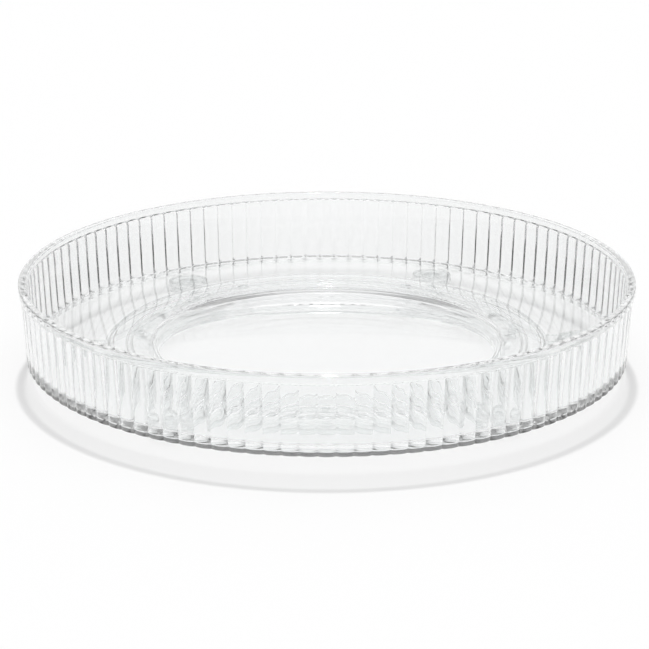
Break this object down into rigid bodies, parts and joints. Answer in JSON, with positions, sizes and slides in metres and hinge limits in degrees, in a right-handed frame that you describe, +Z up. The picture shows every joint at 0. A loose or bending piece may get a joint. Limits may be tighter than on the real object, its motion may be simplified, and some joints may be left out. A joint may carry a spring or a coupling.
{
  "type": "lazy susan turntable",
  "caption": "Clear fluted round tray that spins on captive balls above a footed base ring, to hold and turn bottles, jars and kitchen goods.",
  "frame": {"origin": "centre of the footprint, on the surface the feet stand on", "axes": "+Z up along the tray's turning axis; +X to the right and -Y towards the viewer, with the first foot 3.5 degrees from +X"},
  "size_m": [0.3, 0.3, 0.0455],
  "materials": {
    "tray_clear": "polished clear moulded plastic",
    "base_clear": "polished clear moulded plastic",
    "foot_clear": "clear moulded plastic",
    "ball_clear": "polished clear plastic ball",
    "pad_silicone": "satin translucent silicone"
  },
  "bodies": {
    "base": {"base_ring": "base_clear", "foot_cup_1": "foot_clear", "foot_cup_2": "foot_clear", "foot_cup_3": "foot_clear", "foot_cup_4": "foot_clear", "foot_cup_5": "foot_clear", "foot_cup_6": "foot_clear", "foot_pad_1": "pad_silicone", "foot_pad_2": "pad_silicone", "foot_pad_3": "pad_silicone", "foot_pad_4": "pad_silicone", "foot_pad_5": "pad_silicone", "foot_pad_6": "pad_silicone"},
    "tray": {"tray": "tray_clear", "retaining_ring": "base_clear"},
    "ball_1": {"ball_1": "ball_clear"},
    "ball_2": {"ball_2": "ball_clear"},
    "ball_3": {"ball_3": "ball_clear"},
    "ball_4": {"ball_4": "ball_clear"},
    "ball_5": {"ball_5": "ball_clear"},
    "ball_6": {"ball_6": "ball_clear"},
    "ball_7": {"ball_7": "ball_clear"}
  },
  "joints": [
    {"name": "tray_spin", "type": "hinge", "parent": "base", "child": "tray", "pos_m": [0, 0, 0.0114], "axis": [0, 0, 1], "continuous": true},
    {"name": "ball_1_roll", "type": "hinge", "parent": "base", "child": "ball_1", "pos_m": [0.09424, 0.02297, 0.00765], "axis": [0.9715, 0.2368, 0], "continuous": true},
    {"name": "ball_2_roll", "type": "hinge", "parent": "base", "child": "ball_2", "pos_m": [0.0408, 0.088, 0.00765], "axis": [0.4206, 0.9073, 0], "continuous": true},
    {"name": "ball_3_roll", "type": "hinge", "parent": "base", "child": "ball_3", "pos_m": [-0.04337, 0.08677, 0.00765], "axis": [-0.4471, 0.8945, 0], "continuous": true},
    {"name": "ball_4_roll", "type": "hinge", "parent": "base", "child": "ball_4", "pos_m": [-0.09488, 0.02019, 0.00765], "axis": [-0.9781, 0.2082, 0], "continuous": true},
    {"name": "ball_5_roll", "type": "hinge", "parent": "base", "child": "ball_5", "pos_m": [-0.07494, -0.06159, 0.00765], "axis": [-0.7726, -0.6349, 0], "continuous": true},
    {"name": "ball_6_roll", "type": "hinge", "parent": "base", "child": "ball_6", "pos_m": [0.00143, -0.09699, 0.00765], "axis": [0.0147, -0.9999, 0], "continuous": true},
    {"name": "ball_7_roll", "type": "hinge", "parent": "base", "child": "ball_7", "pos_m": [0.07672, -0.05936, 0.00765], "axis": [0.7909, -0.6119, 0], "continuous": true}
  ],
  "couplings": [
    {"joint": "ball_1_roll", "follows": "tray_spin", "ratio": -32.333},
    {"joint": "ball_2_roll", "follows": "tray_spin", "ratio": -32.333},
    {"joint": "ball_3_roll", "follows": "tray_spin", "ratio": -32.333},
    {"joint": "ball_4_roll", "follows": "tray_spin", "ratio": -32.333},
    {"joint": "ball_5_roll", "follows": "tray_spin", "ratio": -32.333},
    {"joint": "ball_6_roll", "follows": "tray_spin", "ratio": -32.333},
    {"joint": "ball_7_roll", "follows": "tray_spin", "ratio": -32.333}
  ]
}
